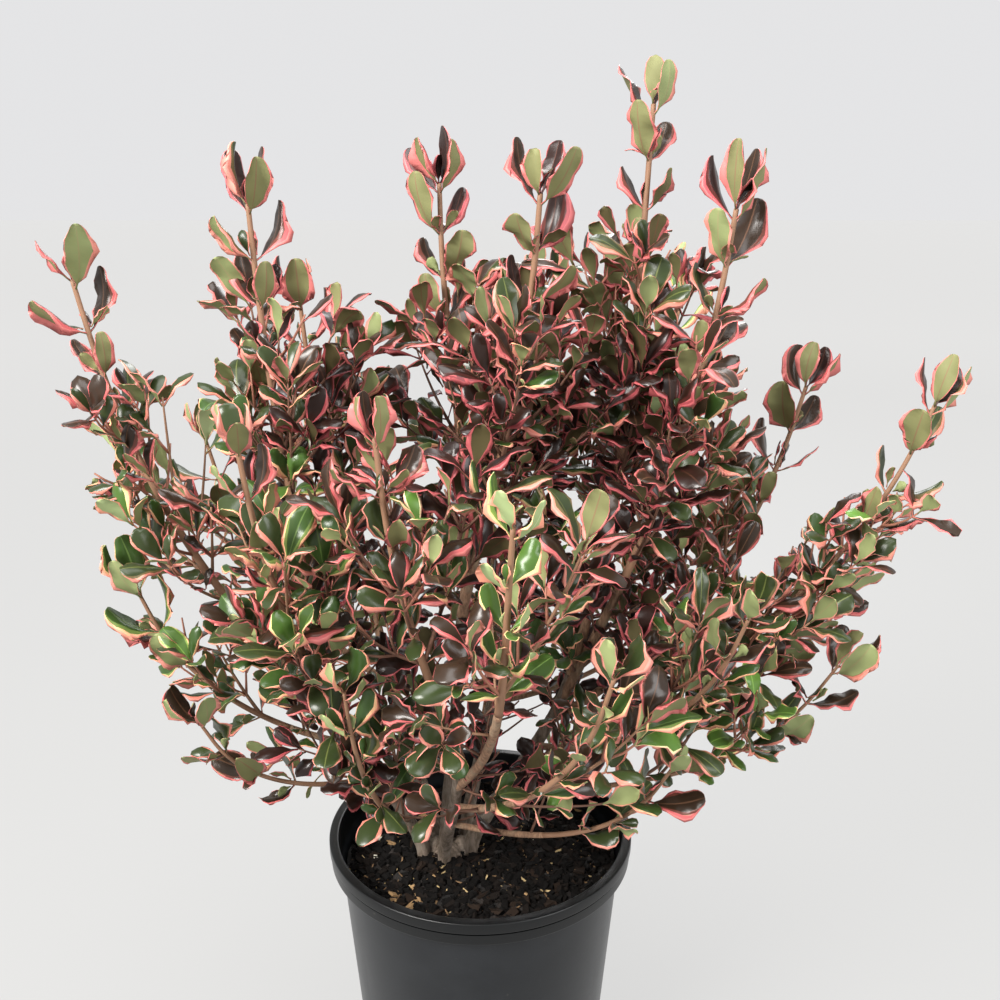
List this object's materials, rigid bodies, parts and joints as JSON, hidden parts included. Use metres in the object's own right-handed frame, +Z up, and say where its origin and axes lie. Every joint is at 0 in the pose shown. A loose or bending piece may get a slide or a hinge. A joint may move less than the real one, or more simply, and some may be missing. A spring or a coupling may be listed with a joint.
{
  "type": "potted mirror bush",
  "caption": "Dense many-stemmed mirror bush with small glossy dark leaves edged in pink and cream, rooted in potting mix in a round plastic nursery pot.",
  "frame": {"origin": "centre of the pot's flat underside", "axes": "+Z up along the pot's axis, -Y towards the plant's front as the picture shows it, +X to its right"},
  "size_m": [0.5519, 0.4344, 0.6708],
  "materials": {
    "pot": "satin moulded plastic with light scuffs",
    "potting_mix": "damp composted bark",
    "bark": "grey brown bark",
    "young_bark": "smooth tan young bark",
    "foliage": "glossy waxy leaf"
  },
  "bodies": {
    "root": {"pot": "pot", "potting_mix": "potting_mix", "stem_right": "bark", "stem_middle": "bark", "stem_left": "bark", "stem_front": "bark", "stem_back": "bark", "stem_back_left": "bark", "bough_top": "young_bark", "bough_right_high": "young_bark", "bough_right_middle": "young_bark", "bough_front_right": "young_bark", "bough_far_right": "young_bark", "bough_low_right": "young_bark", "bough_crest": "young_bark", "bough_plume": "young_bark", "bough_back_high": "young_bark", "bough_horn": "young_bark", "bough_far_left": "young_bark", "bough_left_middle": "young_bark", "bough_low_left": "young_bark", "bough_front_left": "young_bark", "bough_front_high": "young_bark", "bough_front": "young_bark", "bough_front_low": "young_bark", "bough_front_foot": "young_bark", "bough_front_left_low": "young_bark", "bough_back": "young_bark", "bough_back_right": "young_bark", "bough_low_back_right": "young_bark", "bough_low_back": "young_bark", "bough_back_left": "young_bark", "bough_left_back": "young_bark", "bough_low_back_left": "young_bark", "foliage_top": "foliage", "foliage_right_high": "foliage", "foliage_right_middle": "foliage", "foliage_front_right": "foliage", "foliage_far_right": "foliage", "foliage_low_right": "foliage", "foliage_crest": "foliage", "foliage_plume": "foliage", "foliage_back_high": "foliage", "foliage_horn": "foliage", "foliage_far_left": "foliage", "foliage_left_middle": "foliage", "foliage_low_left": "foliage", "foliage_front_left": "foliage", "foliage_front_high": "foliage", "foliage_front": "foliage", "foliage_front_low": "foliage", "foliage_front_foot": "foliage", "foliage_front_left_low": "foliage", "foliage_back": "foliage", "foliage_back_right": "foliage", "foliage_low_back_right": "foliage", "foliage_low_back": "foliage", "foliage_back_left": "foliage", "foliage_left_back": "foliage", "foliage_low_back_left": "foliage"}
  },
  "joints": []
}
